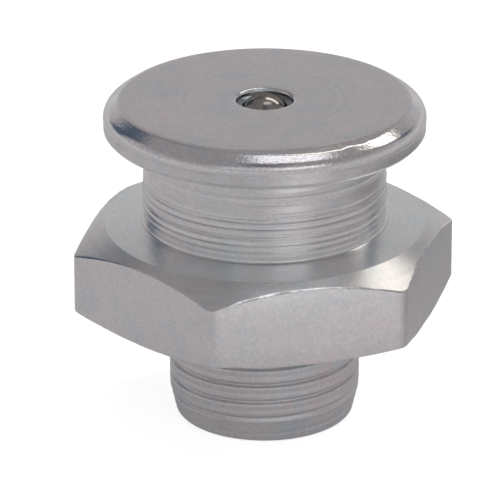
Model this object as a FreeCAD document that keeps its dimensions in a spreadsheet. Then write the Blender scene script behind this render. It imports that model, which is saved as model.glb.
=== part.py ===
"""Button-head grease nipple: a turned hexagonal body with a spring-loaded check ball in its bore.

Millimetres. The origin is the centre of the thread's end, and +Z runs up through the head.
"""

import FreeCAD, Part
import os
import Sketcher

HEX_SIDES = 6
# an edge this near to the radius and height asked for is the one meant
EDGE_MATCH = 0.001

# Driving sizes, each written once. Heights are measured from the thread's end face.
SIZES = {
    # hexagon
    "hex_across_flats": 17.0,
    "hex_bottom": 5.7,
    "hex_thickness": 4.44,
    "hex_corner_radius": 0.6,
    "top_chamfer_radius": 7.95,
    "top_chamfer_degrees": 27.5,
    "bottom_chamfer_radius": 7.8,
    "bottom_chamfer_degrees": 16.0,
    # neck, which the coupler grips
    "neck_radius": 6.03,
    "neck_foot_rise": 0.18,
    "neck_foot_fillet": 0.25,
    "neck_length": 4.6,
    "under_head_fillet": 0.2,
    # head
    "head_radius": 8.0,
    "head_thickness": 1.7,
    "head_rim_width": 0.8,
    "head_rim_degrees": 35.0,
    "head_rim_rounding": 0.7,
    "head_bevel_width": 0.2,
    "head_bevel_height": 0.22,
    # pipe thread G 1/8, drawn at its crests, which the standard puts between 9.514 and 9.728
    "thread_diameter": 9.52,
    "end_chamfer_height": 1.5,
    "end_chamfer_depth": 0.36,
    "end_rounding": 0.35,
    # bore, from the rolled-in lip up to the mouth in the head
    "lip_radius": 1.15,
    "lip_height": 0.7,
    "lip_chamfer": 0.2,
    "bore_radius": 1.55,
    "seat_radius": 1.1,
    "seat_half_degrees": 25.0,
    "mouth_radius": 1.4,
    "mouth_floor_rise": 0.08,
    "mouth_rounding": 0.12,
    # check ball
    "ball_diameter": 2.5,
    "ball_proud": 0.25,
    "ball_seat_clearance": 0.015,
    # spring
    "wire_diameter": 0.35,
    "spring_bore_clearance": 0.15,
    "spring_end_clearance": 0.02,
    "dead_coil_gap": 0.03,
    "active_turns": 10,
}

# Places and sizes that follow from the driving ones, each a formula
PLACES = {
    "hex_top": "sizes.hex_bottom + sizes.hex_thickness",
    "hex_middle": "sizes.hex_bottom + sizes.hex_thickness / 2",
    "hex_corner": "sizes.hex_across_flats / 2 / cos(30 deg)",
    "top_slope": "tan(sizes.top_chamfer_degrees * 1 deg)",
    "top_chamfer_drop": "(hex_corner - sizes.top_chamfer_radius) * top_slope",
    "bottom_slope": "tan(sizes.bottom_chamfer_degrees * 1 deg)",
    "bottom_chamfer_rise": "(hex_corner - sizes.bottom_chamfer_radius) * bottom_slope",
    "neck_foot": "hex_top + sizes.neck_foot_rise",
    "head_under": "neck_foot + sizes.neck_length",
    "head_top": "head_under + sizes.head_thickness",
    "head_flat_radius": "sizes.head_radius - sizes.head_rim_width",
    "rim_slope": "tan(sizes.head_rim_degrees * 1 deg)",
    "rim_knee": "head_top - sizes.head_rim_width * rim_slope",
    "thread_radius": "sizes.thread_diameter / 2",
    "ball_radius": "sizes.ball_diameter / 2",
    "ball_centre": "head_top + sizes.ball_proud - ball_radius",
    # the seat's cone would touch a ball of this radius, its real one and the clearance
    "seat_reach": "ball_radius + sizes.ball_seat_clearance",
    "touch_radius": "seat_reach * cos(sizes.seat_half_degrees * 1 deg)",
    "touch_height": "ball_centre + seat_reach * sin(sizes.seat_half_degrees * 1 deg)",
    "seat_slope": "tan(sizes.seat_half_degrees * 1 deg)",
    "seat_top": "touch_height + (touch_radius - sizes.seat_radius) / seat_slope",
    "seat_foot": "seat_top - (sizes.bore_radius - sizes.seat_radius) / seat_slope",
    "mouth_floor": "seat_top + sizes.mouth_floor_rise",
    "wire_radius": "sizes.wire_diameter / 2",
    "coil_radius": "sizes.bore_radius - sizes.spring_bore_clearance - wire_radius",
    "coil_inside": "coil_radius - wire_radius",
    "dead_pitch": "sizes.wire_diameter + sizes.dead_coil_gap",
    "ball_dip": "sqrt(ball_radius * ball_radius - coil_inside * coil_inside)",
    "spring_top": "ball_centre - ball_dip - sizes.spring_end_clearance",
    "active_start": "sizes.lip_height + dead_pitch",
    "active_end": "spring_top - dead_pitch",
    "active_height": "active_end - active_start",
}


def make_sheet(doc, name, cells):
    """Writes one spreadsheet: a name and a value in each row, with the name as the value's alias."""
    sheet = doc.addObject("Spreadsheet::Sheet", name)
    sheet.Label = name
    for row, (alias, content) in enumerate(cells.items(), start=1):
        sheet.set(f"A{row}", alias)
        sheet.set(f"B{row}", content)
        sheet.setAlias(f"B{row}", alias)
    doc.recompute()


def origin_plane(body, role):
    """The body's own origin plane or axis of this role."""
    return next(item for item in body.Origin.OriginFeatures if item.Role == role)


def new_sketch(body, name, role, height=None):
    """A sketch on one of the body's origin planes, lifted to a height if one is given."""
    sketch = body.newObject("Sketcher::SketchObject", name)
    sketch.AttachmentSupport = [(origin_plane(body, role), "")]
    sketch.MapMode = "FlatFace"
    if height:
        sketch.setExpression("AttachmentOffset.Base.z", height)
    return sketch


def bind(sketch, constraint, expression):
    """Adds one dimension to a sketch and ties it to the spreadsheet."""
    index = sketch.addConstraint(constraint)
    sketch.setExpression(f"Constraints[{index}]", expression)


def value_of(holder, expression):
    """The number that an expression gives, in millimetres or as it is."""
    found = holder.evalExpression(expression)
    return float(getattr(found, "Value", found))


def draw_outline(sketch, corners):
    """Draws one closed outline of straight lines from corners (x, y), each an expression or "0"."""
    placed = []
    for across, up in corners:
        place = FreeCAD.Vector(value_of(sketch, across), value_of(sketch, up), 0)
        placed.append((across, up, place))
    first = sketch.GeometryCount
    count = len(placed)
    for number in range(count):
        start, end = placed[number][2], placed[(number + 1) % count][2]
        sketch.addGeometry(Part.LineSegment(start, end), False)
    for number in range(count):
        following = (number + 1) % count
        sketch.addConstraint(Sketcher.Constraint("Coincident", first + number, 2, first + following, 1))
    for number, (across, up, place) in enumerate(placed):
        line = first + number
        if across == "0" and up == "0":
            sketch.addConstraint(Sketcher.Constraint("Coincident", line, 1, -1, 1))
            continue
        if across == "0":
            sketch.addConstraint(Sketcher.Constraint("PointOnObject", line, 1, -2))
        else:
            bind(sketch, Sketcher.Constraint("DistanceX", -1, 1, line, 1, place.x), across)
        if up == "0":
            sketch.addConstraint(Sketcher.Constraint("PointOnObject", line, 1, -1))
        else:
            bind(sketch, Sketcher.Constraint("DistanceY", -1, 1, line, 1, place.y), up)


def turn(body, kind, name, outlines):
    """Turns outlines about the body's own axis, to add material or to cut it."""
    sketch = new_sketch(body, f"{name}_outline", "XZ_Plane")
    for corners in outlines:
        draw_outline(sketch, corners)
    feature = body.newObject(kind, name)
    feature.Profile = sketch
    feature.ReferenceAxis = (sketch, ["V_Axis"])
    feature.Angle = 360
    body.Document.recompute()


def circles_at(feature, radius, height):
    """Names of the circular edges that lie at this radius and height."""
    radius = value_of(feature, radius)
    height = value_of(feature, height)
    names = []
    for number, edge in enumerate(feature.Shape.Edges, start=1):
        if not isinstance(edge.Curve, Part.Circle):
            continue
        near_radius = abs(edge.Curve.Radius - radius) < EDGE_MATCH
        near_height = abs(edge.Curve.Center.z - height) < EDGE_MATCH
        if near_radius and near_height:
            names.append(f"Edge{number}")
    return names


def dress(body, kind, name, edges, size_property, size):
    """Rounds or chamfers the named edges of the body's last feature."""
    if not edges:
        raise RuntimeError(f"{name} found no edge")
    base = body.Tip
    feature = body.newObject(kind, name)
    feature.Base = (base, edges)
    feature.setExpression(size_property, size)
    body.Document.recompute()


def make_hexagon(body):
    """The wrench hexagon: a length of hexagonal bar with its corners rounded and both ends chamfered."""
    sketch = new_sketch(body, "hexagon_outline", "XY_Plane", "sizes.hex_bottom")
    corner = value_of(sketch, "places.hex_corner")
    places = []
    for number in range(HEX_SIDES):
        turned = FreeCAD.Rotation(FreeCAD.Vector(0, 0, 1), 360 / HEX_SIDES * number)
        places.append(turned.multVec(FreeCAD.Vector(corner, 0, 0)))
    for number in range(HEX_SIDES):
        sketch.addGeometry(Part.LineSegment(places[number], places[(number + 1) % HEX_SIDES]), False)
    circle = sketch.addGeometry(Part.Circle(FreeCAD.Vector(0, 0, 0), FreeCAD.Vector(0, 0, 1), corner), True)
    sketch.addConstraint(Sketcher.Constraint("Coincident", circle, 3, -1, 1))
    for number in range(HEX_SIDES):
        following = (number + 1) % HEX_SIDES
        sketch.addConstraint(Sketcher.Constraint("Coincident", number, 2, following, 1))
        sketch.addConstraint(Sketcher.Constraint("PointOnObject", number, 1, circle))
        if number:
            sketch.addConstraint(Sketcher.Constraint("Equal", 0, number))
    sketch.addConstraint(Sketcher.Constraint("PointOnObject", 0, 1, -1))
    bind(sketch, Sketcher.Constraint("Radius", circle, corner), "places.hex_corner")
    pad = body.newObject("PartDesign::Pad", "hexagon")
    pad.Profile = sketch
    pad.setExpression("Length", "sizes.hex_thickness")
    body.Document.recompute()

    uprights = []
    for number, edge in enumerate(pad.Shape.Edges, start=1):
        ends = edge.Vertexes
        if abs(ends[0].Point.z - ends[1].Point.z) > EDGE_MATCH:
            uprights.append(f"Edge{number}")
    dress(body, "PartDesign::Fillet", "hexagon_corners", uprights, "Radius", "sizes.hex_corner_radius")

    turn(body, "PartDesign::Groove", "hexagon_chamfers", [
        [
            ("sizes.top_chamfer_radius", "places.hex_top"),
            ("places.hex_corner", "places.hex_top - places.top_chamfer_drop"),
            ("places.hex_corner", "places.hex_top"),
        ],
        [
            ("sizes.bottom_chamfer_radius", "sizes.hex_bottom"),
            ("places.hex_corner", "sizes.hex_bottom"),
            ("places.hex_corner", "sizes.hex_bottom + places.bottom_chamfer_rise"),
        ],
    ])


def make_neck_and_head(body):
    """The neck that the coupler grips and the flat button head over it, with its rolled-off rim."""
    turn(body, "PartDesign::Revolution", "neck_and_head", [[
        ("0", "places.hex_middle"),
        ("sizes.top_chamfer_radius", "places.hex_middle"),
        ("sizes.top_chamfer_radius", "places.hex_top"),
        ("sizes.neck_radius", "places.neck_foot"),
        ("sizes.neck_radius", "places.head_under"),
        ("sizes.head_radius - sizes.head_bevel_width", "places.head_under"),
        ("sizes.head_radius", "places.head_under + sizes.head_bevel_height"),
        ("sizes.head_radius", "places.rim_knee"),
        ("places.head_flat_radius", "places.head_top"),
        ("0", "places.head_top"),
    ]])
    rim = circles_at(body.Tip, "sizes.head_radius", "places.rim_knee")
    dress(body, "PartDesign::Fillet", "head_rim", rim, "Radius", "sizes.head_rim_rounding")
    foot = circles_at(body.Tip, "sizes.neck_radius", "places.neck_foot")
    dress(body, "PartDesign::Fillet", "neck_foot_fillet", foot, "Radius", "sizes.neck_foot_fillet")
    under = circles_at(body.Tip, "sizes.neck_radius", "places.head_under")
    dress(body, "PartDesign::Fillet", "under_head", under, "Radius", "sizes.under_head_fillet")


def make_threaded_end(body):
    """The shank that carries the pipe thread, as wide as its crests, with its rounded lead-in chamfer."""
    turn(body, "PartDesign::Revolution", "threaded_end", [[
        ("0", "0"),
        ("places.thread_radius - sizes.end_chamfer_depth", "0"),
        ("places.thread_radius", "sizes.end_chamfer_height"),
        ("places.thread_radius", "places.hex_middle"),
        ("0", "places.hex_middle"),
    ]])
    end = circles_at(body.Tip, "places.thread_radius - sizes.end_chamfer_depth", "0")
    dress(body, "PartDesign::Fillet", "end_rounding", end, "Radius", "sizes.end_rounding")


def make_bore(body):
    """The stepped grease bore: rolled-in lip, spring bore, conical ball seat and open mouth."""
    turn(body, "PartDesign::Groove", "grease_bore", [[
        ("0", "0"),
        ("sizes.lip_radius", "0"),
        ("sizes.lip_radius", "sizes.lip_height"),
        ("sizes.bore_radius", "sizes.lip_height"),
        ("sizes.bore_radius", "places.seat_foot"),
        ("sizes.seat_radius", "places.seat_top"),
        ("sizes.mouth_radius", "places.mouth_floor"),
        ("sizes.mouth_radius", "places.head_top"),
        ("0", "places.head_top"),
    ]])
    mouth = circles_at(body.Tip, "sizes.mouth_radius", "places.head_top")
    dress(body, "PartDesign::Fillet", "mouth_edge", mouth, "Radius", "sizes.mouth_rounding")
    lip = circles_at(body.Tip, "sizes.lip_radius", "0")
    dress(body, "PartDesign::Chamfer", "lip_edge", lip, "Size", "sizes.lip_chamfer")


def make_body(doc):
    """The one-piece turned fitting."""
    body = doc.addObject("PartDesign::Body", "nipple_body")
    body.Label = "body"
    make_hexagon(body)
    make_neck_and_head(body)
    make_threaded_end(body)
    make_bore(body)
    return body


def make_ball(doc):
    """The steel check ball, just under its seat."""
    ball = doc.addObject("Part::Sphere", "ball")
    ball.Label = "check_ball"
    ball.setExpression("Radius", "places.ball_radius")
    ball.setExpression("Placement.Base.z", "places.ball_centre")
    return ball


def coil(body, name, start, height, turns):
    """One stretch of the spring: a round wire wound about the axis, from a start height."""
    sketch = new_sketch(body, f"{name}_wire", "XZ_Plane")
    across, up = "places.coil_radius", start
    centre = FreeCAD.Vector(value_of(sketch, across), value_of(sketch, up), 0)
    wire = value_of(sketch, "places.wire_radius")
    circle = sketch.addGeometry(Part.Circle(centre, FreeCAD.Vector(0, 0, 1), wire), False)
    bind(sketch, Sketcher.Constraint("DistanceX", -1, 1, circle, 3, centre.x), across)
    bind(sketch, Sketcher.Constraint("DistanceY", -1, 1, circle, 3, centre.y), up)
    bind(sketch, Sketcher.Constraint("Radius", circle, wire), "places.wire_radius")
    helix = body.newObject("PartDesign::AdditiveHelix", name)
    helix.Profile = sketch
    helix.ReferenceAxis = (sketch, ["V_Axis"])
    helix.Mode = "height-turns-angle"
    helix.setExpression("Height", height)
    helix.setExpression("Turns", turns)
    body.Document.recompute()


def make_spring(doc):
    """The compression spring: active turns between two dead coils, both ends ground flat."""
    body = doc.addObject("PartDesign::Body", "spring_body")
    body.Label = "spring"
    coil(body, "lower_dead_coil", "sizes.lip_height", "places.dead_pitch", "1")
    coil(body, "active_coils", "places.active_start", "places.active_height", "sizes.active_turns")
    coil(body, "upper_dead_coil", "places.active_end", "places.dead_pitch", "1")
    turn(body, "PartDesign::Groove", "ground_ends", [
        [
            ("0", "sizes.lip_height - sizes.wire_diameter"),
            ("sizes.bore_radius", "sizes.lip_height - sizes.wire_diameter"),
            ("sizes.bore_radius", "sizes.lip_height"),
            ("0", "sizes.lip_height"),
        ],
        [
            ("0", "places.spring_top"),
            ("sizes.bore_radius", "places.spring_top"),
            ("sizes.bore_radius", "places.spring_top + sizes.wire_diameter"),
            ("0", "places.spring_top + sizes.wire_diameter"),
        ],
    ])
    return body


def check_document(doc):
    """Stops if any feature failed."""
    for item in doc.Objects:
        if "Invalid" in item.State or "Error" in item.State:
            raise RuntimeError(f"{item.Label} is {item.State}")


def write_parts(parts):
    """Checks each sub-part's solid and writes it under its own name."""
    os.makedirs("parts", exist_ok=True)
    for part in parts:
        shape = part.Shape
        if shape.isNull() or not shape.isValid() or len(shape.Solids) != 1:
            raise RuntimeError(f"{part.Label} is not one valid solid")
        shape.exportStep(f"parts/{part.Label}.step")
        print(part.Label, round(shape.Volume, 3), "mm3", shape.BoundBox)


doc = FreeCAD.newDocument("grease_nipple")
make_sheet(doc, "sizes", {name: str(size) for name, size in SIZES.items()})
make_sheet(doc, "places", {name: f"={formula}" for name, formula in PLACES.items()})
sub_parts = [make_body(doc), make_ball(doc), make_spring(doc)]
doc.recompute()
check_document(doc)
write_parts(sub_parts)
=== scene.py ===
import logging
import math
from dataclasses import dataclass, field
from enum import Enum

import bmesh
import bpy
import numpy as np
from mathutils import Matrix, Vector, noise


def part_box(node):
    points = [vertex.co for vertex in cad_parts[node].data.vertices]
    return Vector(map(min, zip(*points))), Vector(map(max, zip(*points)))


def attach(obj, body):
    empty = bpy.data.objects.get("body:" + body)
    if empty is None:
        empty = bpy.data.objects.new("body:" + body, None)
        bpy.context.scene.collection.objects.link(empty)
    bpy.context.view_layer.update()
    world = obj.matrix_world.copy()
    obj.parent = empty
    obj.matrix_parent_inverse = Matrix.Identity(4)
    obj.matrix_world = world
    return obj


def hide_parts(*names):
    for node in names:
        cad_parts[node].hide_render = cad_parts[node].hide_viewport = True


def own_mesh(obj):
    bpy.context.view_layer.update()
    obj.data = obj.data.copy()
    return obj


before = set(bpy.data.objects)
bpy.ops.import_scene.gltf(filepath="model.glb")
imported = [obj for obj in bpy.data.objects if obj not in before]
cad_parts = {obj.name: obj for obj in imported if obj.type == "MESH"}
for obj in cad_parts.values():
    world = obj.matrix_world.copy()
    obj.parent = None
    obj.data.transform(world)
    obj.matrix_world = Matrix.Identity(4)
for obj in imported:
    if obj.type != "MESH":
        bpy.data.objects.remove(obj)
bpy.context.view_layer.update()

MM = 0.001
MICROMETRE = 1e-6
SIDE_TURN = math.radians(60)
HALF_SIDE = math.radians(30)
Colour = tuple[float, float, float]
Socket = bpy.types.NodeSocket
Groups = dict[str, bpy.types.NodeTree]

# Places of the share, the two colours and the result among a Mix node's sockets.
COLOUR_MIX_INPUTS = (0, 6, 7)
COLOUR_MIX_OUTPUT = 2

# Scales are in features a metre, the length is in metres and the turn in full turns.
PATCH_FINENESS = 2.7
SPECKLE_SCALE = 7000.0
SPECKLE_SHADE = 0.07
SWAY_SCALE = 220.0
SWAY_LENGTH = 0.00012
FADE_SCALE = 500.0
GLINT_TURN = 0.25

logger = logging.getLogger("grease_nipple")


class Zone(Enum):
    """The stretches of the fitting's surface that are finished in a way of their own."""

    TOP = 0
    RIM = 1
    WALL = 2
    NECK = 3
    FOOT = 4
    CHAMFER = 5
    FLATS = 6
    THREAD = 7
    BORE = 8
    UNDER = 9


class MarkRun(Enum):
    """What a tool's fine marks are counted along."""

    RADIUS = "radius"
    HEIGHT = "height"


def smooth_step(value: np.ndarray, low: float, high: float) -> np.ndarray:
    """Rises smoothly from 0 at low to 1 at high."""
    share = np.clip((value - low) / (high - low), 0.0, 1.0)
    return share * share * (3.0 - 2.0 * share)


def wander(angles: np.ndarray, beads: float, seed: float) -> np.ndarray:
    """A smooth uneven value round the axis, the same at 0 and 360 degrees.

    Args:
        angles: The angles, in radians.
        beads: About how many bumps go round.
        seed: Which of the many such values it is.

    Returns:
        One number for each angle, mostly from -1 to 1.
    """
    reach = beads / (2.0 * math.pi)
    places = (Vector((math.cos(a) * reach, math.sin(a) * reach, seed)) for a in angles)
    return np.array([noise.noise(place) * 2.0 for place in places])


@dataclass(frozen=True)
class Unevenness:
    """How far a size strays round the axis: its share, its number of bumps and which such value it is."""

    share: float
    beads: float
    seed: float

    def at(self, angles: np.ndarray, number: int = 0) -> np.ndarray:
        """How far the size strays at each angle, for one of several sizes of its kind."""
        return self.share * wander(angles, self.beads, self.seed + number)


def strayed(size: float, ways: tuple[Unevenness, ...], angles: np.ndarray) -> np.ndarray:
    """A size at each angle, with all that it strays by."""
    return sum((way.at(angles) for way in ways), size)


@dataclass
class Corner:
    """One corner of the fitting's outline, in millimetres from the axis and from the end face.

    The stretch that leads up to the corner has the zone, and is divided into equal rows or at the given
    heights. A row is a ring of faces.
    """

    radius: float | np.ndarray
    height: float | np.ndarray
    rounding: float | np.ndarray
    bend_rows: int
    zone: Zone
    rows: int = 1
    row_heights: tuple[float, ...] = ()


@dataclass
class Surface:
    """Rings of points round the axis, in order along the outline."""

    angles: np.ndarray
    radii: list[np.ndarray] = field(default_factory=list)
    heights: list[np.ndarray] = field(default_factory=list)
    zones: list[Zone] = field(default_factory=list)

    def add_ring(self, place: np.ndarray, zone: Zone) -> None:
        """Adds one ring from its radii and heights."""
        self.radii.append(place[0])
        self.heights.append(place[1])
        self.zones.append(zone)

    def follow(self, corners: list[Corner]) -> None:
        """Follows a closed outline, with a round bend at each corner.

        Args:
            corners: The outline's corners in order. Each value is one number or one for each angle.
        """
        even = np.zeros(len(self.angles))
        places = [np.stack([even + corner.radius, even + corner.height]) for corner in corners]
        bends = []
        for number, corner in enumerate(corners):
            before, here = places[number - 1], places[number]
            after = places[(number + 1) % len(corners)]
            bends.append(bend_points(before, here, after, corner.rounding, corner.bend_rows))
        for number, corner in enumerate(corners):
            start, end = bends[number - 1][-1], bends[number][0]
            for height in corner.row_heights:
                share = (start[1] - height) / (start[1] - end[1])
                self.add_ring(start + (end - start) * share, corner.zone)
            for row in range(1, corner.rows + 1):
                if row == corner.rows or not corner.row_heights:
                    self.add_ring(start + (end - start) * row / corner.rows, corner.zone)
            for place in bends[number][1:]:
                self.add_ring(place, corner.zone)

    def make_mesh(self, name: str) -> bpy.types.Mesh:
        """Joins the rings into one closed skin of four-sided faces.

        Args:
            name: The mesh's name.

        Returns:
            The mesh in metres, with the zone's number as each face's material place.
        """
        radii, heights = np.array(self.radii), np.array(self.heights)
        rings, columns = radii.shape
        points = np.stack([radii * np.cos(self.angles), radii * np.sin(self.angles), heights], axis=-1) * MM
        ring, column = np.meshgrid(np.arange(rings), np.arange(columns), indexing="ij")
        here, there, beside = ring * columns, (ring + 1) % rings * columns, (column + 1) % columns
        faces = np.stack([here + column, there + column, there + beside, here + beside], axis=-1)
        faces = faces.reshape(-1, 4)
        mesh = bpy.data.meshes.new(name)
        mesh.from_pydata(points.reshape(-1, 3).tolist(), [], faces.tolist())
        zones = np.array([zone.value for zone in self.zones])
        mesh.polygons.foreach_set("material_index", np.repeat(np.roll(zones, -1), columns))
        mesh.polygons.foreach_set("use_smooth", np.ones(len(faces), dtype=bool))
        mesh.update()
        return mesh


def bend_points(
    before: np.ndarray, here: np.ndarray, after: np.ndarray, rounding: float | np.ndarray, rows: int
) -> list[np.ndarray]:
    """Places along the round bend of one corner.

    Args:
        before: Radii and heights of the corner before this one.
        here: The corner itself.
        after: The corner after it.
        rounding: The bend's radius, in millimetres.
        rows: How many rows of faces the bend has.

    Returns:
        The bend's places, from its start to its end.
    """
    back = (before - here) / np.linalg.norm(before - here, axis=0)
    ahead = (after - here) / np.linalg.norm(after - here, axis=0)
    half = np.arccos(np.clip(np.sum(back * ahead, axis=0), -1.0, 1.0)) / 2.0
    middle = back + ahead
    centre = here + middle / np.linalg.norm(middle, axis=0) * rounding / np.sin(half)
    first = here + back * rounding / np.tan(half) - centre
    last = here + ahead * rounding / np.tan(half) - centre
    turn = math.pi - 2.0 * half
    places = []
    for row in range(rows + 1):
        share = row / rows
        from_first = np.sin((1.0 - share) * turn) / np.sin(turn)
        from_last = np.sin(share * turn) / np.sin(turn)
        places.append(centre + first * from_first + last * from_last)
    return places


class NodeTree:
    """A thin helper that adds and joins shader nodes."""

    def __init__(self, tree: bpy.types.NodeTree) -> None:
        """Keeps the tree and empties it."""
        self.tree = tree
        tree.nodes.clear()

    def add(self, kind: str, settings: dict | None = None, **inputs: object) -> bpy.types.Node:
        """Adds a node, with its settings and what goes into its sockets.

        Args:
            kind: The node's type, without the ShaderNode before it.
            settings: Attributes of the node itself.
            inputs: A value or an output socket for each input, by name with underscores.

        Returns:
            The new node.
        """
        node = self.tree.nodes.new(f"ShaderNode{kind}")
        for name, value in (settings or {}).items():
            setattr(node, name, value)
        for name, value in inputs.items():
            self.feed(node.inputs[name.replace("_", " ")], value)
        return node

    def feed(self, socket: Socket, value: object) -> None:
        """Joins an output to a socket, or sets the socket's value."""
        if isinstance(value, Socket):
            self.tree.links.new(value, socket)
        else:
            socket.default_value = value

    def maths(self, operation: str, *values: object) -> Socket:
        """One step of arithmetic.

        Args:
            operation: The step's name, with VECTOR_ before it where it works on vectors.
            values: A value or an output socket for each input.

        Returns:
            The result's socket.
        """
        if operation.startswith("VECTOR_"):
            node = self.add("VectorMath", {"operation": operation[len("VECTOR_"):]})
        else:
            node = self.add("Math", {"operation": operation})
        for socket, value in zip(node.inputs, values):
            self.feed(socket, value)
        return node.outputs.get("Value") or node.outputs[0]

    def blend(self, share: object, first: object, second: object) -> Socket:
        """A colour between two.

        Args:
            share: How much there is of the second colour.
            first: The colour at 0.
            second: The colour at 1.

        Returns:
            The colour's socket.
        """
        node = self.add("Mix", {"data_type": "RGBA"})
        for place, value in zip(COLOUR_MIX_INPUTS, (share, first, second)):
            self.feed(node.inputs[place], opaque(value))
        return node.outputs[COLOUR_MIX_OUTPUT]

    def spread(
        self, value: object, low: float, high: float, to_low: float, to_high: float, manner: str = "LINEAR"
    ) -> Socket:
        """A number carried from one range to another, and kept inside it.

        Args:
            value: The number's socket.
            low: The start of its range.
            high: The end of its range.
            to_low: What the start becomes.
            to_high: What the end becomes.
            manner: How it goes from one to the other.

        Returns:
            The result's socket.
        """
        node = self.add("MapRange", {"clamp": True, "interpolation_type": manner})
        for socket, given in zip(node.inputs, (value, low, high, to_low, to_high)):
            self.feed(socket, given)
        return node.outputs[0]


def opaque(value: object) -> object:
    """A colour of three numbers with full cover added, and anything else as it is."""
    if isinstance(value, tuple) and len(value) == 3:
        return (*value, 1.0)
    return value


def start_material(name: str) -> tuple[bpy.types.Material, NodeTree]:
    """A new material and the helper for its nodes."""
    material = bpy.data.materials.new(name)
    material.use_nodes = True
    return material, NodeTree(material.node_tree)


def make_group(
    name: str, inputs: dict[str, str], outputs: dict[str, str]
) -> tuple[NodeTree, dict[str, Socket], bpy.types.Node]:
    """Starts a shader node group.

    Args:
        name: The group's name.
        inputs: The kind of each input, by name.
        outputs: The kind of each output, by name.

    Returns:
        The helper for its nodes, its inputs by name and the node that takes its outputs.
    """
    tree = bpy.data.node_groups.new(name, "ShaderNodeTree")
    for label, kind in inputs.items():
        tree.interface.new_socket(label, in_out="INPUT", socket_type=f"NodeSocket{kind}")
    for label, kind in outputs.items():
        tree.interface.new_socket(label, in_out="OUTPUT", socket_type=f"NodeSocket{kind}")
    nodes = NodeTree(tree)
    given, taken = tree.nodes.new("NodeGroupInput"), tree.nodes.new("NodeGroupOutput")
    return nodes, {label: given.outputs[label] for label in inputs}, taken


def make_mottle_group() -> bpy.types.NodeTree:
    """Colour of a zinc coat: a mauve and a blue tinge that drift over the grey, and a fine speckle.

    Returns:
        The node group.
    """
    nodes, given, taken = make_group(
        "zinc_mottle",
        {"Place": "Vector", "Grey": "Color", "Mauve": "Color", "Blue": "Color", "Scale": "Float"},
        {"Colour": "Color", "Cloud": "Float"},
    )
    cloud = nodes.add("TexNoise", Vector=given["Place"], Scale=given["Scale"], Detail=4.0)
    finer = nodes.maths("MULTIPLY", given["Scale"], PATCH_FINENESS)
    patch = nodes.add("TexNoise", Vector=given["Place"], Scale=finer, Detail=3.0)
    mauve = nodes.blend(nodes.spread(cloud.outputs[0], 0.42, 0.62, 0.0, 1.0), given["Grey"], given["Mauve"])
    blue = nodes.blend(nodes.spread(patch.outputs[0], 0.5, 0.68, 0.0, 0.8), mauve, given["Blue"])
    speckle = nodes.add("TexNoise", Vector=given["Place"], Scale=SPECKLE_SCALE, Detail=2.0)
    shade = nodes.spread(speckle.outputs[0], 0.3, 0.7, 1.0 - SPECKLE_SHADE, 1.0 + SPECKLE_SHADE)
    speckled = nodes.maths("VECTOR_SCALE", blue)
    nodes.feed(speckled.node.inputs["Scale"], shade)
    nodes.feed(taken.inputs["Colour"], speckled)
    nodes.feed(taken.inputs["Cloud"], cloud.outputs[0])
    return nodes.tree


def make_marks_group() -> bpy.types.NodeTree:
    """Fine marks that a cutting tool leaves side by side, uneven in strength along their length.

    Returns:
        The node group.
    """
    nodes, given, taken = make_group(
        "tool_marks",
        {"Place": "Vector", "Along": "Float", "Scale": "Float"},
        {"Height": "Float"},
    )
    sway = nodes.add("TexNoise", Vector=given["Place"], Scale=SWAY_SCALE, Detail=2.0)
    swayed = nodes.maths("MULTIPLY_ADD", sway.outputs[0], SWAY_LENGTH, given["Along"])
    marks = nodes.add("TexNoise", {"noise_dimensions": "1D"}, W=swayed, Scale=given["Scale"],
                      Detail=5.0, Roughness=0.65)
    fade = nodes.add("TexNoise", Vector=given["Place"], Scale=FADE_SCALE, Detail=3.0)
    strength = nodes.spread(fade.outputs[0], 0.35, 0.65, 0.45, 1.0)
    centred = nodes.maths("SUBTRACT", marks.outputs[0], 0.5)
    nodes.feed(taken.inputs["Height"], nodes.maths("MULTIPLY", centred, strength))
    return nodes.tree


def make_grain_group() -> bpy.types.NodeTree:
    """The fine crystal grain of the zinc coat.

    Returns:
        The node group.
    """
    nodes, given, taken = make_group(
        "zinc_grain",
        {"Place": "Vector", "Scale": "Float"},
        {"Height": "Float"},
    )
    grain = nodes.add("TexNoise", Vector=given["Place"], Scale=given["Scale"], Detail=3.0, Roughness=0.6)
    nodes.feed(taken.inputs["Height"], nodes.maths("SUBTRACT", grain.outputs[0], 0.5))
    return nodes.tree


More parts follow.
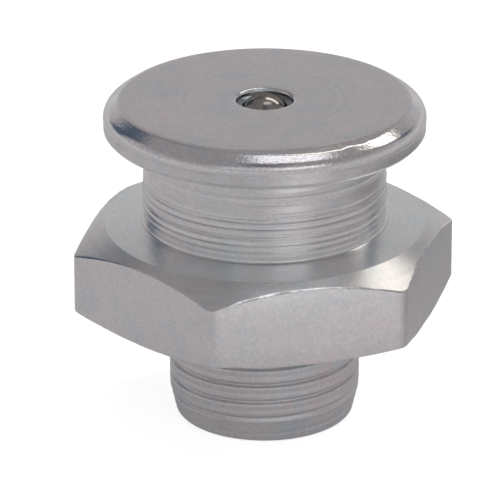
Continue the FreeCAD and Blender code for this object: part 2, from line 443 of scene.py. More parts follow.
@dataclass(frozen=True)
class ZincFinish:
    """Bright zinc plate over turned steel, as it looks on one stretch of the fitting.

    Depths are in micrometres, and scales in features a metre. mark_shade is how much painted shade and
    painted highlight the tool's marks lay on the colour, and anisotropy how far a glint stretches across
    them.
    """

    name: str
    grey: Colour
    mauve: Colour
    blue: Colour
    roughness: float
    roughness_spread: float
    marks: MarkRun
    mark_scale: float
    mark_depth: float
    grain_depth: float
    mark_shade: float = 0.02
    anisotropy: float = 0.0
    grain_scale: float = 9000.0
    cloud_scale: float = 260.0

    def make(self, groups: Groups) -> bpy.types.Material:
        """Makes the material.

        Args:
            groups: The shared node groups, by name.

        Returns:
            The material.
        """
        material, nodes = start_material(self.name)
        place = nodes.add("TexCoord").outputs["Object"]
        if self.marks is MarkRun.RADIUS:
            along = nodes.maths("VECTOR_LENGTH", nodes.maths("VECTOR_MULTIPLY", place, (1.0, 1.0, 0.0)))
        else:
            along = nodes.add("SeparateXYZ", Vector=place).outputs["Z"]

        coat = nodes.add("Group", {"node_tree": groups["mottle"]}, Place=place, Grey=opaque(self.grey),
                         Mauve=opaque(self.mauve), Blue=opaque(self.blue), Scale=self.cloud_scale)
        marks = nodes.add("Group", {"node_tree": groups["marks"]}, Place=place, Along=along,
                          Scale=self.mark_scale)
        grain = nodes.add("Group", {"node_tree": groups["grain"]}, Place=place, Scale=self.grain_scale)

        # Painted shade and painted highlight along the tool's marks.
        darker, lighter = 1.0 - self.mark_shade, 1.0 + self.mark_shade
        painted_mark_shade = nodes.spread(marks.outputs["Height"], -0.15, 0.15, darker, lighter)
        colour = nodes.maths("VECTOR_SCALE", coat.outputs["Colour"])
        nodes.feed(colour.node.inputs["Scale"], painted_mark_shade)
        low, high = self.roughness - self.roughness_spread, self.roughness + self.roughness_spread
        gloss = nodes.spread(coat.outputs["Cloud"], 0.3, 0.7, low, high)
        cut = nodes.add("Bump", Strength=1.0, Distance=self.mark_depth * MICROMETRE,
                        Height=marks.outputs["Height"])
        fine = nodes.add("Bump", Strength=1.0, Distance=self.grain_depth * MICROMETRE,
                         Height=grain.outputs["Height"], Normal=cut.outputs[0])
        steel = nodes.add("BsdfPrincipled", Base_Color=colour, Metallic=1.0, Roughness=gloss,
                          Anisotropic=self.anisotropy, Anisotropic_Rotation=GLINT_TURN,
                          Normal=fine.outputs[0])
        if self.anisotropy:
            turned = nodes.add("Tangent", {"direction_type": "RADIAL", "axis": "Z"})
            nodes.feed(steel.inputs["Tangent"], turned.outputs[0])
        nodes.add("OutputMaterial", Surface=steel.outputs[0])
        return material


GREY: Colour = (0.66, 0.645, 0.652)
MAUVE: Colour = (0.705, 0.66, 0.675)
BLUE: Colour = (0.60, 0.635, 0.67)
# A darker copy of the zinc grey for the head's wall: painted shade.
PAINTED_SHADE_WALL_GREY: Colour = (0.58, 0.565, 0.57)
PALE_TEAL: Colour = (0.60, 0.645, 0.66)
# Lighter copies of the zinc for the neck's foot: painted light, a painted reflection of the neck's bright
# front.
PAINTED_LIGHT_FOOT_GREY: Colour = (0.81, 0.82, 0.825)
PAINTED_LIGHT_FOOT_TEAL: Colour = (0.75, 0.82, 0.835)
THREAD_GREY: Colour = (0.66, 0.645, 0.66)
THREAD_MAUVE: Colour = (0.66, 0.61, 0.625)
THREAD_BLUE: Colour = (0.58, 0.64, 0.69)
# Near white for the head's underside: painted light, so that its reflection lightens the chamfer and foot
# below it.
PAINTED_LIGHT_UNDERSIDE: Colour = (0.91, 0.925, 0.93)
# Dark copies of the zinc for the bore and mouth: painted shade inside the hole.
PAINTED_SHADE_BORE_TEAL: Colour = (0.20, 0.25, 0.28)
PAINTED_SHADE_BORE_GREY: Colour = (0.24, 0.25, 0.26)

FINISHES: dict[Zone, ZincFinish] = {
    Zone.TOP: ZincFinish(
        "zinc_head_top", GREY, MAUVE, BLUE, 0.31, 0.03, MarkRun.RADIUS, 3600.0, 0.0, 3.5,
        mark_shade=0.03, grain_scale=6500.0,
    ),
    Zone.RIM: ZincFinish(
        "zinc_head_rim", GREY, MAUVE, BLUE, 0.13, 0.03, MarkRun.HEIGHT, 5200.0, 0.5, 10.0,
        grain_scale=6500.0,
    ),
    # The head's wall carries painted shade: its grey is darker than the zinc elsewhere.
    Zone.WALL: ZincFinish(
        "zinc_head_wall_painted_shade", PAINTED_SHADE_WALL_GREY, MAUVE, BLUE, 0.30, 0.04, MarkRun.HEIGHT, 4200.0, 1.6, 1.2,
        anisotropy=0.6,
    ),
    Zone.NECK: ZincFinish(
        "zinc_neck", GREY, MAUVE, BLUE, 0.24, 0.04, MarkRun.HEIGHT, 5600.0, 4.0, 1.0,
        anisotropy=0.6, mark_shade=0.06,
    ),
    # The neck's foot carries painted light: its colours are lighter than the zinc elsewhere.
    Zone.FOOT: ZincFinish(
        "zinc_neck_foot_painted_light", PAINTED_LIGHT_FOOT_GREY, PAINTED_LIGHT_FOOT_GREY, PAINTED_LIGHT_FOOT_TEAL, 0.25, 0.03, MarkRun.RADIUS, 5200.0, 0.8, 0.6,
        anisotropy=0.7,
    ),
    Zone.CHAMFER: ZincFinish(
        "zinc_chamfer", GREY, GREY, PALE_TEAL, 0.30, 0.04, MarkRun.RADIUS, 3800.0, 14.0, 2.0,
        anisotropy=0.6, mark_shade=0.04,
    ),
    Zone.FLATS: ZincFinish(
        "zinc_flats", GREY, MAUVE, BLUE, 0.30, 0.03, MarkRun.HEIGHT, 2600.0, 0.0, 4.5,
        mark_shade=0.0, grain_scale=6500.0,
    ),
    Zone.THREAD: ZincFinish(
        "zinc_thread", THREAD_GREY, THREAD_MAUVE, THREAD_BLUE, 0.42, 0.04, MarkRun.HEIGHT, 5600.0, 0.8, 2.5,
    ),
    # The bore and mouth carry painted shade: their colours are far darker than the zinc elsewhere.
    Zone.BORE: ZincFinish(
        "zinc_bore_painted_shade", PAINTED_SHADE_BORE_GREY, PAINTED_SHADE_BORE_GREY, PAINTED_SHADE_BORE_TEAL, 0.26, 0.04, MarkRun.HEIGHT, 5200.0, 1.0, 0.7,
    ),
    # The head's underside carries painted light: it is near white, not zinc grey.
    Zone.UNDER: ZincFinish(
        "zinc_head_underside_painted_light", PAINTED_LIGHT_UNDERSIDE, PAINTED_LIGHT_UNDERSIDE, PAINTED_LIGHT_UNDERSIDE, 0.5, 0.03, MarkRun.RADIUS, 5200.0, 1.2, 0.6,
    ),
}


@dataclass(frozen=True)
class SteelFinish:
    """Bare steel: a polished ball or drawn wire. The marks' depth is in micrometres."""

    name: str
    colour: Colour
    stain: Colour
    edge: Colour
    roughness: float
    mark_depth: float
    film_scale: float = 900.0
    mark_scale: float = 9000.0

    def make(self, groups: Groups) -> bpy.types.Material:
        """Makes the material.

        Args:
            groups: The shared node groups, by name.

        Returns:
            The material.
        """
        material, nodes = start_material(self.name)
        place = nodes.add("TexCoord").outputs["Object"]
        parts = nodes.add("SeparateXYZ", Vector=place)
        film = nodes.add("TexNoise", Vector=place, Scale=self.film_scale, Detail=3.0)
        marks = nodes.add("Group", {"node_tree": groups["marks"]}, Place=place,
                          Along=parts.outputs["Z"], Scale=self.mark_scale)
        colour = nodes.blend(nodes.spread(film.outputs[0], 0.4, 0.65, 0.0, 1.0), self.colour, self.stain)
        gloss = nodes.spread(film.outputs[0], 0.3, 0.7, self.roughness * 0.75, self.roughness * 1.3)
        bump = nodes.add("Bump", Strength=1.0, Distance=self.mark_depth * MICROMETRE,
                         Height=marks.outputs["Height"])
        steel = nodes.add("BsdfPrincipled", Base_Color=colour, Metallic=1.0, Roughness=gloss,
                          Specular_Tint=opaque(self.edge), Normal=bump.outputs[0])
        nodes.add("OutputMaterial", Surface=steel.outputs[0])
        return material


# The ball's steel is darker than bare polished steel: painted shade of the mouth it sits in.
BALL_STEEL_AND_SHADE = SteelFinish(
    "polished_ball_steel_painted_shade", (0.38, 0.355, 0.33), (0.29, 0.275, 0.26), (0.3, 0.3, 0.3), 0.13, 0.1
)
SPRING_STEEL = SteelFinish(
    "drawn_spring_wire", (0.40, 0.40, 0.41), (0.30, 0.29, 0.28), (0.8, 0.8, 0.8), 0.32, 0.6
)


def add_object(name: str, data: bpy.types.ID) -> bpy.types.Object:
    """Adds an object to the scene."""
    added = bpy.data.objects.new(name, data)
    bpy.context.scene.collection.objects.link(added)
    return added


@dataclass(frozen=True)
class Groove:
    """One groove that the turning tool left in the neck, or one fine ridge, in millimetres."""

    height: float
    depth: float
    width: float = 0.07


@dataclass
class Fitting:
    """The one-piece fitting: button head, grooved neck, wrench hexagon, threaded end and bore.

    Sizes are in millimetres and angles in radians. Radii are from the axis and heights from the end face.
    The roll is the worn edge of the head's flat, by the degrees that it faces away from the front. The mouth
    and the hexagon's upper edges are as glossy as the rim and share its zone. Plain edges are keen, crisp,
    eased or broken.
    """

    head_top: float = 16.62
    head_under: float = 14.92
    head_radius: float = 8.0
    flat_radius: float = 6.3
    flat_rounding: float = 3.0
    front_degrees: float = -104.4
    roll_facing: tuple[float, ...] = (-75.0, -53.0, -36.0, -20.0, 0.0, 10.0, 25.0, 40.0, 50.0, 62.0)
    roll_radii: tuple[float, ...] = (7.08, 7.06, 7.02, 6.96, 6.82, 6.74, 6.80, 6.88, 6.96, 7.08)
    roll_slopes: tuple[float, ...] = (0.12, 0.12, 0.12, 0.12, 0.14, 0.18, 0.26, 0.31, 0.27, 0.12)
    roll_drop: float = 0.008
    roll_reach: float = 7.33
    roll_rounding: float = 0.7
    roll_sway: Unevenness = Unevenness(0.02, 60, 21.0)
    slope_sway: Unevenness = Unevenness(0.2, 90, 27.0)
    crease_rounding: float = 0.3
    rim_degrees: float = 35.0
    rim_knee: float = 16.06
    rim_rounding: float = 0.7
    step_height: float = 15.68
    step_depth: float = 0.06
    step_slope: float = 0.03
    step_rounding: float = 0.006
    wall_top: float = 15.59
    wall_inset: float = 0.02
    bevel_width: float = 0.2
    bevel_height: float = 0.22
    bevel_rounding: float = 0.12
    head_fillet: float = 0.2
    neck_radius: float = 6.03
    neck_foot: float = 10.32
    neck_margins: tuple[float, float] = (0.25, 0.3)
    foot_fillet: float = 0.16
    across_flats: float = 17.0
    corner_radius: float = 0.6
    hex_top: float = 10.14
    hex_bottom: float = 5.7
    top_chamfer_radius: float = 7.95
    top_chamfer_degrees: float = 27.5
    bottom_chamfer_radius: float = 7.8
    bottom_chamfer_degrees: float = 16.0
    edge_rounding: float = 0.12
    edge_rounding_share: float = 0.7
    edge_rounding_sway: tuple[Unevenness, ...] = (Unevenness(0.2, 170, 5.3), Unevenness(0.3, 50, 9.2))
    edge_wear: float = 0.10
    edge_wear_sway: tuple[Unevenness, ...] = (Unevenness(0.35, 60, 3.1), Unevenness(0.3, 17, 7.7))
    edge_slope: float = 0.18
    edge_slope_sway: tuple[Unevenness, ...] = (Unevenness(0.12, 110, 13.3), Unevenness(0.06, 25, 5.9))
    worn_rounding: float = 0.04
    seat_rounding: float = 0.06
    shank_fillet: float = 0.12
    thread_radius: float = 4.76
    thread_pitch: float = 0.907
    thread_start: float = 0.766
    thread_depth: float = 0.15
    thread_groove: float = 0.34
    thread_crown: float = 0.02
    thread_sway: Unevenness = Unevenness(0.15, 7, 71.0)
    thread_run_out: tuple[float, float] = (0.2, 0.6)
    thread_run_in: tuple[float, float] = (0.15, 1.4)
    end_radius: float = 4.4
    end_chamfer_height: float = 1.5
    end_chamfer_rounding: float = 2.0
    end_rounding: float = 0.35
    lip_radius: float = 1.15
    lip_height: float = 0.7
    lip_chamfer: float = 0.2
    bore_radius: float = 1.55
    seat_foot: float = 15.289
    seat_radius: float = 1.1
    seat_top: float = 16.254
    mouth_radius: float = 1.4
    mouth_floor: float = 16.334
    mouth_rounding: float = 0.17
    mouth_taper: float = 0.002
    keen: float = 0.01
    crisp: float = 0.02
    eased: float = 0.03
    broken: float = 0.05
    corner_steps: int = 7
    side_steps: int = 38
    thread_rows: int = 84
    grooves: tuple[Groove, ...] = (
        Groove(14.40, 0.014, 0.20), Groove(13.66, 0.038, 0.22), Groove(13.12, 0.012, 0.16),
        Groove(12.80, 0.034, 0.17), Groove(12.30, 0.034, 0.18), Groove(11.92, 0.032, 0.17),
        Groove(11.42, 0.034, 0.18), Groove(11.10, 0.020, 0.14), Groove(10.78, 0.020, 0.16),
    )
    ridges: tuple[Groove, ...] = (
        Groove(13.90, 0.012), Groove(13.38, 0.014), Groove(12.64, 0.020), Groove(12.47, 0.018),
        Groove(12.12, 0.020), Groove(11.72, 0.020), Groove(11.26, 0.020), Groove(10.95, 0.010),
    )
    groove_sway: Unevenness = Unevenness(0.4, 9, 11.0)
    groove_height_sway: Unevenness = Unevenness(0.012, 6, 31.0)
    ridge_sway: Unevenness = Unevenness(1.2, 14, 51.0)
    ridge_rows: tuple[float, ...] = (-0.9, -0.4, 0.0, 0.4, 0.9)
    worked_degrees: float = 30.0
    worked_share: float = 0.35
    neck_row: float = 0.085

    def corner_centre(self) -> float:
        """How far the centre of a corner's rounding is from the axis."""
        return (self.across_flats / 2 - self.corner_radius) / math.cos(HALF_SIDE)

    def corner_half(self) -> float:
        """Half the angle that a rounded corner takes up."""
        return HALF_SIDE - math.atan2(self.corner_centre() * math.sin(HALF_SIDE), self.across_flats / 2)

    def column_angles(self) -> np.ndarray:
        """Angles of the columns, closer together over the hexagon's rounded corners.

        Returns:
            The angles.
        """
        half = self.corner_half()
        angles = []
        for side in range(6):
            corner = SIDE_TURN * side
            for step in range(self.corner_steps):
                angles.append(corner - half + 2 * half * step / self.corner_steps)
            length = SIDE_TURN - 2 * half
            for step in range(self.side_steps):
                angles.append(corner + half + length * step / self.side_steps)
        return np.array(angles)

    def hexagon_radius(self, angles: np.ndarray) -> np.ndarray:
        """How far the hexagon reaches, with its corners rounded.

        Args:
            angles: The angles.

        Returns:
            One radius for each angle.
        """
        off_corner = np.abs((angles + HALF_SIDE) % SIDE_TURN - HALF_SIDE)
        straight = self.across_flats / 2 / np.cos(HALF_SIDE - off_corner)
        centre = self.corner_centre()
        under_root = self.corner_radius**2 - (centre * np.sin(off_corner)) ** 2
        rounded = centre * np.cos(off_corner) + np.sqrt(np.maximum(under_root, 0.0))
        return np.where(off_corner < self.corner_half(), rounded, straight)

    def head_corners(self, angles: np.ndarray) -> list[Corner]:
        """The outline from the mouth over the head to the neck.

        Args:
            angles: The columns' angles.

        Returns:
            The corners, in order.
        """
        rim, top = self.head_radius, self.head_top
        facing = (np.degrees(angles) - self.front_degrees + 180.0) % 360.0 - 180.0
        roll = np.interp(facing, self.roll_facing, self.roll_radii) + self.roll_sway.at(angles)
        slope = np.interp(facing, self.roll_facing, self.roll_slopes) * (1.0 + self.slope_sway.at(angles))
        crease = top - self.roll_drop - slope * (self.roll_reach - roll)
        rim_slope = math.tan(math.radians(self.rim_degrees))
        wall = rim - self.wall_inset
        mouth_foot = top - self.mouth_rounding - self.crisp
        return [
            Corner(self.mouth_radius, self.mouth_floor, self.eased, 2, Zone.BORE),
            Corner(self.mouth_radius + self.mouth_taper, mouth_foot, self.keen, 1, Zone.BORE),
            Corner(self.mouth_radius, top, self.mouth_rounding - self.keen, 7, Zone.RIM),
            Corner(self.flat_radius, top, self.flat_rounding, 3, Zone.TOP, 9),
            Corner(roll, top - self.roll_drop, self.roll_rounding, 4, Zone.TOP, 2),
            Corner(rim - (crease - self.rim_knee) / rim_slope, crease, self.crease_rounding, 5, Zone.RIM, 2),
            Corner(rim, self.rim_knee, self.rim_rounding, 15, Zone.RIM, 3),
            Corner(rim, self.step_height, self.step_rounding, 2, Zone.RIM),
            Corner(rim - self.step_depth, self.step_height - self.step_slope, self.keen, 2, Zone.RIM),
            Corner(wall, self.wall_top, self.eased, 3, Zone.WALL),
            Corner(wall, self.head_under + self.bevel_height, self.bevel_rounding, 4, Zone.WALL, 2),
            Corner(wall - self.bevel_width, self.head_under, self.broken, 4, Zone.UNDER),
            Corner(self.neck_radius, self.head_under, self.head_fillet, 5, Zone.UNDER, 4),
        ]

    def neck_and_hexagon_corners(self, angles: np.ndarray) -> list[Corner]:
        """The outline from the neck over the hexagon to its underside.

        Args:
            angles: The columns' angles.

        Returns:
            The corners, in order.
        """
        reach = self.hexagon_radius(angles)
        slope = math.tan(math.radians(self.top_chamfer_degrees))
        bottom_slope = math.tan(math.radians(self.bottom_chamfer_degrees))
        edge = self.hex_top - (reach - self.top_chamfer_radius) * slope
        bottom_rise = (reach - self.bottom_chamfer_radius) * bottom_slope
        worn = self.edge_wear * strayed(1.0, self.edge_wear_sway, angles)
        fall = worn * strayed(self.edge_slope, self.edge_slope_sway, angles)
        rounding = self.edge_rounding * strayed(self.edge_rounding_share, self.edge_rounding_sway, angles)
        return [
            Corner(self.neck_radius, self.neck_foot, self.foot_fillet, 8, Zone.NECK, 1, self.neck_rows()),
            Corner(self.top_chamfer_radius, self.hex_top, self.broken, 4, Zone.FOOT, 3),
            Corner(reach - worn, edge + worn * slope, self.worn_rounding, 2, Zone.CHAMFER, 6),
            Corner(reach, edge - fall, self.eased, 4, Zone.RIM),
            Corner(reach, self.hex_bottom + bottom_rise, rounding, 5, Zone.FLATS, 5),
            Corner(self.bottom_chamfer_radius, self.hex_bottom, self.seat_rounding, 3, Zone.CHAMFER, 3),
        ]

    def end_corners(self) -> list[Corner]:
        """The outline down the threaded end and back up through the bore.

        Returns:
            The corners, in order.
        """
        thread, end = self.thread_radius, self.end_chamfer_height
        return [
            Corner(thread, self.hex_bottom, self.shank_fillet, 4, Zone.CHAMFER, 4),
            Corner(thread, end, self.end_chamfer_rounding, 6, Zone.THREAD, self.thread_rows),
            Corner(self.end_radius, 0.0, self.end_rounding, 10, Zone.THREAD, 24),
            Corner(self.lip_radius + self.lip_chamfer, 0.0, self.crisp, 2, Zone.CHAMFER, 3),
            Corner(self.lip_radius, self.lip_chamfer, self.broken, 2, Zone.BORE),
            Corner(self.lip_radius, self.lip_height, self.crisp, 2, Zone.BORE),
            Corner(self.bore_radius, self.lip_height, self.crisp, 2, Zone.BORE),
            Corner(self.bore_radius, self.seat_foot, self.eased, 2, Zone.BORE, 4),
            Corner(self.seat_radius, self.seat_top, self.crisp, 2, Zone.BORE, 3),
        ]

    def neck_rows(self) -> tuple[float, ...]:
        """Heights of the neck's rows, closer together over each ridge.

        Returns:
            The heights, from the top down.
        """
        top, bottom = self.head_under - self.neck_margins[0], self.neck_foot + self.neck_margins[1]
        count = round((top - bottom) / self.neck_row)
        heights = {top - (top - bottom) * step / count for step in range(count + 1)}
        for ridge in self.ridges:
            heights = {height for height in heights if abs(height - ridge.height) > ridge.width}
            heights |= {ridge.height + ridge.width * share for share in self.ridge_rows}
        return tuple(sorted(heights, reverse=True))

    def groove_depth(self, heights: np.ndarray, angles: np.ndarray) -> np.ndarray:
        """How deep the tool's grooves are, less the height of its fine ridges.

        Args:
            heights: The places' heights.
            angles: Their angles.

        Returns:
            One depth for each place.
        """
        depth = np.zeros_like(heights)
        facing = np.cos(angles - math.radians(self.front_degrees + self.worked_degrees))
        for number, groove in enumerate(self.grooves):
            uneven = 1.0 + self.groove_sway.at(angles, number) + self.worked_share * facing
            sway = self.groove_height_sway.at(angles, number)
            off = (heights - groove.height - sway) / (groove.width / 2)
            depth += groove.depth * uneven * np.exp(-off * off * 2.0)
        for number, ridge in enumerate(self.ridges):
            uneven = np.maximum(1.0 + self.ridge_sway.at(angles, number), 0.0)
            off = (heights - ridge.height) / (ridge.width / 2)
            depth -= ridge.depth * uneven * np.exp(-off * off * 2.0)
        return depth

    def thread_form(self, heights: np.ndarray, angles: np.ndarray) -> np.ndarray:
        """How far the thread lies inside its crests, which are broad and worn, with narrow round grooves.

        Args:
            heights: The places' heights.
            angles: Their angles.

        Returns:
            One depth for each place.
        """
        phase = (heights - self.thread_start) / self.thread_pitch - angles / (2 * math.pi)
        off_root = np.abs((phase + 0.5) % 1.0 - 0.5) * self.thread_pitch
        share = np.minimum(off_root / (self.thread_groove / 2), 1.0)
        uneven = 1.0 + self.thread_sway.at(angles)
        groove = self.thread_depth * uneven * (1.0 + np.cos(math.pi * share)) / 2.0
        crown = self.thread_crown * (off_root / self.thread_pitch * 4.0 - 1.0) ** 2
        run_out = smooth_step(self.hex_bottom - heights, *self.thread_run_out)
        return (groove + crown) * run_out * smooth_step(heights, *self.thread_run_in)

    def build(self) -> bpy.types.Object:
        """Builds the fitting's skin.

        Returns:
            The object, riding on its body, in place of the plain solid.
        """
        angles = self.column_angles()
        surface = Surface(angles)
        surface.follow(self.head_corners(angles) + self.neck_and_hexagon_corners(angles) + self.end_corners())
        for number, zone in enumerate(surface.zones):
            heights = surface.heights[number]
            if zone is Zone.NECK:
                surface.radii[number] = surface.radii[number] - self.groove_depth(heights, angles)
            if zone is Zone.THREAD:
                surface.radii[number] = surface.radii[number] - self.thread_form(heights, angles)
        piece = add_object("fitting_skin", surface.make_mesh("fitting_skin"))
        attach(piece, "fitting")
        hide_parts("body")
        return piece

    def dress(self, piece: bpy.types.Object, groups: Groups) -> None:
        """Gives each zone its zinc finish, with painted light on the foot and underside and painted shade on
        the wall and bore.
        """
        for zone in Zone:
            piece.data.materials.append(FINISHES[zone].make(groups))


@dataclass
class CheckBall:
    """The polished steel ball that closes the bore. Sizes come from its solid."""

    divisions: int = 5

    def build(self) -> bpy.types.Object:
        """Builds the ball's smooth skin.

        Returns:
            The object, riding on the ball's body, in place of the faceted solid.
        """
        low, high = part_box("check_ball")
        mesh = bpy.data.meshes.new("polished_ball")
        shape = bmesh.new()
        bmesh.ops.create_icosphere(shape, subdivisions=self.divisions, radius=(high.z - low.z) / 2)
        bmesh.ops.translate(shape, verts=shape.verts, vec=(low + high) / 2)
        for face in shape.faces:
            face.smooth = True
        shape.to_mesh(mesh)
        shape.free()
        piece = add_object("polished_ball", mesh)
        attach(piece, "ball")
        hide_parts("check_ball")
        return piece

    def dress(self, piece: bpy.types.Object, groups: Groups) -> None:
        """Gives the ball its polished steel, painted darker with the shade of the mouth."""
        piece.data.materials.append(BALL_STEEL_AND_SHADE.make(groups))


@dataclass
class ValveSpring:
    """The compression spring under the ball: active turns between two dead coils, both ends ground flat.

    Sizes are in millimetres. The ends' heights come from the spring's solid.
    """

    coil_radius: float = 1.225
    wire_radius: float = 0.175
    dead_pitch: float = 0.38
    active_turns: int = 10
    turn_steps: int = 40
    wire_steps: int = 14
    ball_travel: float = 0.9

    def wire_height(self, turns: float, bottom: float, top: float) -> float:
        """How high the wire is.

        Args:
            turns: How many turns it has made from the lower end.
            bottom: The lower end's height.
            top: The upper end's height.

        Returns:
            The height of the wire's middle.
        """
        active_height = top - bottom - 2 * self.dead_pitch
        active = min(max(turns - 1.0, 0.0), float(self.active_turns)) / self.active_turns * active_height
        dead = min(turns, 1.0) + max(turns - 1.0 - self.active_turns, 0.0)
        return bottom + active + dead * self.dead_pitch

    def build(self) -> bpy.types.Object:
        """Builds the spring's wire.

        Returns:
            The object, riding on the fitting, in place of the faceted solid.
        """
        low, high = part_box("spring")
        bottom, top = low.z / MM, high.z / MM
        count = (self.active_turns + 2) * self.turn_steps + 1
        points = []
        for step in range(count):
            turns = step / self.turn_steps
            angle = turns * 2 * math.pi
            height = self.wire_height(turns, bottom, top)
            for side in range(self.wire_steps):
                around = side / self.wire_steps * 2 * math.pi
                reach = self.coil_radius + self.wire_radius * math.cos(around)
                level = min(max(height + self.wire_radius * math.sin(around), bottom), top)
                points.append((reach * math.cos(angle) * MM, reach * math.sin(angle) * MM, level * MM))
        faces = []
        for step in range(count - 1):
            for side in range(self.wire_steps):
                following = (side + 1) % self.wire_steps
                first, second = step * self.wire_steps, (step + 1) * self.wire_steps
                faces.append((first + side, second + side, second + following, first + following))
        faces.append(tuple(range(self.wire_steps)))
        faces.append(tuple(range(count * self.wire_steps - 1, (count - 1) * self.wire_steps - 1, -1)))
        mesh = bpy.data.meshes.new("valve_spring")
        mesh.from_pydata(points, [], faces)
        mesh.polygons.foreach_set("use_smooth", np.ones(len(faces), dtype=bool))
        piece = add_object("valve_spring", mesh)
        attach(piece, "fitting")
        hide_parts("spring")
        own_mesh(piece)
        return piece

    def dress(self, piece: bpy.types.Object, groups: Groups) -> None:
        """Gives the spring its drawn wire."""
        piece.data.materials.append(SPRING_STEEL.make(groups))


@dataclass(frozen=True)
class StudioPanel:
    """A panel of the studio, bright or dark, seen from the fitting between two directions.

    A direction is degrees to the right of the photographer and degrees above the horizon.
    """

    start: tuple[float, float]
    end: tuple[float, float]
    half_width: float
    softness: float
    colour: Colour

    def axes(self) -> tuple[Vector, Vector, Vector, float]:
        """The panel's place on the sky.

        Returns:
            Its middle, its length's and its width's directions, and its half length.
        """
        first, last = direction(*self.start), direction(*self.end)
        middle = (first + last).normalized()
        along = (last - first).normalized()
        return middle, along, middle.cross(along), math.tan(first.angle(last) / 2)


def direction(azimuth: float, elevation: float) -> Vector:
    """A direction from the fitting: x to the photographer's right, y away from them and z up."""
    turn, rise = math.radians(azimuth), math.radians(elevation)
    return Vector((math.sin(turn) * math.cos(rise), -math.cos(turn) * math.cos(rise), math.sin(rise)))


PANEL_INPUTS = dict.fromkeys(("Direction", "Middle", "Along", "Across"), "Vector") | dict.fromkeys(
    ("Half Length", "Half Width", "Softness"), "Float"
)
LEAST_FACING = 0.001
PANEL_HORIZON = 0.01


def make_panel_group() -> bpy.types.NodeTree:
    """How much of a studio panel lies in a direction.

    Returns:
        The node group.
    """
    nodes, given, taken = make_group("studio_panel", PANEL_INPUTS, {"Cover": "Float"})
    facing = nodes.maths("VECTOR_DOT_PRODUCT", given["Direction"], given["Middle"])
    safe = nodes.maths("MAXIMUM", facing, LEAST_FACING)
    covers = []
    for side, half in (("Along", "Half Length"), ("Across", "Half Width")):
        sideways = nodes.maths("VECTOR_DOT_PRODUCT", given["Direction"], given[side])
        off = nodes.maths("ABSOLUTE", nodes.maths("DIVIDE", sideways, safe))
        inside = nodes.maths("SUBTRACT", given[half], off)
        share = nodes.maths("DIVIDE", inside, given["Softness"])
        covers.append(nodes.spread(share, -1.0, 1.0, 0.0, 1.0, "SMOOTHSTEP"))
    both = nodes.maths("MULTIPLY", covers[0], covers[1])
    ahead = nodes.maths("GREATER_THAN", facing, PANEL_HORIZON)
    nodes.feed(taken.inputs["Cover"], nodes.maths("MULTIPLY", both, ahead))
    return nodes.tree


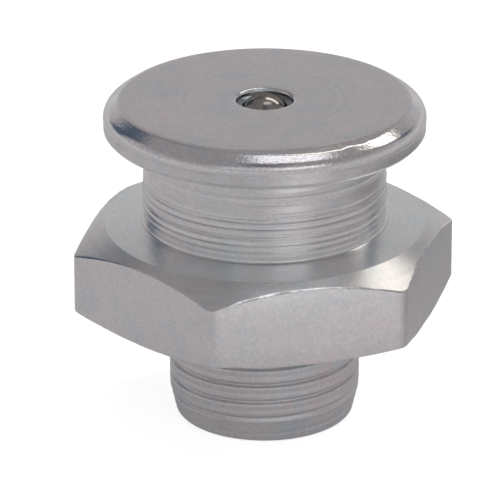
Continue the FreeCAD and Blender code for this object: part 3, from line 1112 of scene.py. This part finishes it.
@dataclass
class Studio:
    """The camera, the pale floor and the soft light. Lengths are in metres.

    The pool is a painted pool of light on the floor and the shade a painted shade on it, both seen in
    reflections only. Their places are degrees to the photographer's right and the distance from the axis.
    """

    image_size: int = 500
    camera_azimuth: float = -14.37
    camera_elevation: float = 22.635
    camera_distance: float = 0.262
    focal_pixels: float = 5249.07
    sensor_width: float = 36.0
    near_clip: float = 0.01
    far_clip: float = 100.0
    target: tuple[float, float, float] = (-0.000705, 0.000181, 0.008532)
    floor_half: float = 3.0
    floor_drop: float = 0.00002
    floor_colour: Colour = (0.86, 0.86, 0.86)
    floor_glow: float = 0.72
    mirrored_glow: float = 0.10
    # A painted pool of light and a painted shade on the floor, seen in reflections only.
    painted_pool_glow: float = 0.66
    painted_pool_place: tuple[float, float] = (24.0, 0.043)
    painted_pool_reach: float = 0.020
    shade_depth: float = 0.45
    shade_place: tuple[float, float] = (108.0, 0.038)
    shade_reach: float = 0.030
    shade_core: float = 0.3
    sky: tuple[tuple[float, Colour], ...] = (
        (0.03, (0.73, 0.73, 0.73)),
        (0.14, (0.60, 0.592, 0.592)),
        (0.33, (0.515, 0.50, 0.507)),
        (0.62, (0.36, 0.345, 0.352)),
    )
    panels: tuple[StudioPanel, ...] = (
        StudioPanel((-35.0, 28.0), (48.0, 28.0), 11.0, 0.12, (0.66, 0.66, 0.665)),
        StudioPanel((8.0, 31.0), (44.0, 31.0), 6.5, 0.09, (1.22, 1.27, 1.29)),
        StudioPanel((0.0, 50.0), (0.0, 80.0), 9.0, 0.07, (0.19, 0.19, 0.215)),
        StudioPanel((-172.0, 50.0), (-140.0, 44.0), 7.0, 0.06, (0.23, 0.20, 0.185)),
        StudioPanel((-134.0, 8.0), (-130.0, 42.0), 10.0, 0.07, (0.085, 0.12, 0.17)),
        StudioPanel((112.0, 46.0), (133.0, 18.0), 7.0, 0.06, (0.125, 0.15, 0.185)),
        StudioPanel((-70.0, 86.0), (103.0, 67.0), 6.5, 0.05, (1.45, 1.48, 1.52)),
        StudioPanel((172.0, 60.0), (120.0, 37.0), 6.0, 0.03, (3.0, 2.9, 2.65)),
    )

    def make_camera(self) -> None:
        """Sets up the camera where the photograph was taken from."""
        data = bpy.data.cameras.new("photographer")
        data.sensor_width = self.sensor_width
        data.lens = self.focal_pixels / self.image_size * self.sensor_width
        data.clip_start = self.near_clip
        data.clip_end = self.far_clip
        camera = add_object("photographer", data)
        back = direction(self.camera_azimuth, self.camera_elevation)
        camera.location = Vector(self.target) + back * self.camera_distance
        camera.rotation_euler = (-back).to_track_quat("-Z", "Y").to_euler()
        bpy.context.scene.camera = camera

    def make_floor(self) -> None:
        """Lays the pale floor, which shows white and keeps the fitting's soft shadow."""
        half = self.floor_half
        mesh = bpy.data.meshes.new("floor")
        corners = [(-half, -half), (half, -half), (half, half), (-half, half)]
        mesh.from_pydata([(x, y, -self.floor_drop) for x, y in corners], [], [(0, 1, 2, 3)])
        floor = add_object("floor", mesh)
        material, nodes = start_material("pale_floor")
        path = nodes.add("LightPath")
        mirrored = nodes.maths("MAXIMUM", path.outputs["Is Glossy Ray"], path.outputs["Is Transmission Ray"])
        place = nodes.add("TexCoord").outputs["Object"]
        # A painted pool of light and a painted shade on the floor, both seen only in reflections on the
        # metal.
        from_painted_pool = self.distance_from(nodes, place, self.painted_pool_place)
        painted_pool = nodes.spread(from_painted_pool, 0.0, self.painted_pool_reach, 1.0, 0.0)
        from_shade = self.distance_from(nodes, place, self.shade_place)
        core = self.shade_core * self.shade_reach
        shade = nodes.spread(from_shade, core, self.shade_reach, self.shade_depth, 0.0)
        shade = nodes.maths("MULTIPLY", mirrored, shade)
        matt = nodes.add("BsdfDiffuse", Color=nodes.blend(shade, self.floor_colour, (0.0, 0.0, 0.0)))
        bare = nodes.maths("SUBTRACT", 1.0, shade)
        glowing = nodes.maths("MULTIPLY_ADD", painted_pool, self.painted_pool_glow, self.mirrored_glow)
        lit = nodes.maths("MULTIPLY", glowing, bare)
        seen = nodes.maths("MULTIPLY", path.outputs["Is Camera Ray"], self.floor_glow)
        strength = nodes.maths("MAXIMUM", seen, nodes.maths("MULTIPLY", mirrored, lit))
        glow = nodes.add("Emission", Color=(1.0, 1.0, 1.0, 1.0), Strength=strength)
        both = nodes.add("AddShader")
        nodes.feed(both.inputs[0], matt.outputs[0])
        nodes.feed(both.inputs[1], glow.outputs[0])
        clear = nodes.add("BsdfTransparent")
        sides = nodes.add("MixShader", Fac=nodes.add("NewGeometry").outputs["Backfacing"])
        nodes.feed(sides.inputs[1], both.outputs[0])
        nodes.feed(sides.inputs[2], clear.outputs[0])
        nodes.add("OutputMaterial", Surface=sides.outputs[0])
        floor.data.materials.append(material)

    def distance_from(self, nodes: NodeTree, place: Socket, spot: tuple[float, float]) -> Socket:
        """How far a place of the floor is from a spot.

        Args:
            nodes: The helper for the floor's nodes.
            place: The socket with the place.
            spot: Degrees to the photographer's right, and the distance from the axis.

        Returns:
            The distance's socket.
        """
        turn = math.radians(spot[0] + self.camera_azimuth)
        centre = (math.sin(turn) * spot[1], -math.cos(turn) * spot[1], 0.0)
        return nodes.maths("VECTOR_LENGTH", nodes.maths("VECTOR_SUBTRACT", place, centre))

    def make_light(self) -> None:
        """Surrounds the fitting with a pale studio and its panels."""
        world = bpy.data.worlds.new("studio")
        world.use_nodes = True
        bpy.context.scene.world = world
        nodes = NodeTree(world.node_tree)
        sky = nodes.add("TexCoord").outputs["Generated"]
        turned = nodes.add("VectorRotate", {"rotation_type": "Z_AXIS"}, Vector=sky,
                           Angle=-math.radians(self.camera_azimuth))
        look = turned.outputs[0]
        rise = nodes.add("SeparateXYZ", Vector=look).outputs["Z"]
        shade: object = self.sky[0][1]
        for (low, _), (high, colour) in zip(self.sky, self.sky[1:]):
            shade = nodes.blend(nodes.spread(rise, low, high, 0.0, 1.0), shade, colour)
        group = make_panel_group()
        for panel in self.panels:
            middle, along, across, half_length = panel.axes()
            cover = nodes.add(
                "Group", {"node_tree": group}, Direction=look, Middle=middle, Along=along,
                Across=across, Half_Length=half_length, Softness=panel.softness,
                Half_Width=math.tan(math.radians(panel.half_width)),
            )
            shade = nodes.blend(cover.outputs["Cover"], shade, panel.colour)
        light = nodes.add("Background", Color=shade, Strength=1.0)
        nodes.add("OutputWorld", Surface=light.outputs[0])

    def build(self) -> None:
        """Sets up the whole studio."""
        self.make_camera()
        self.make_floor()
        self.make_light()
        bpy.context.scene.view_settings.view_transform = "Standard"


def main() -> None:
    """Builds every piece of the grease nipple and the studio round it."""
    logging.basicConfig(level=logging.INFO, format="%(name)s %(message)s")
    groups = {"mottle": make_mottle_group(), "marks": make_marks_group(), "grain": make_grain_group()}
    for maker in (Fitting(), CheckBall(), ValveSpring()):
        piece = maker.build()
        maker.dress(piece, groups)
    Studio().build()


if __name__ == "__main__":
    main()
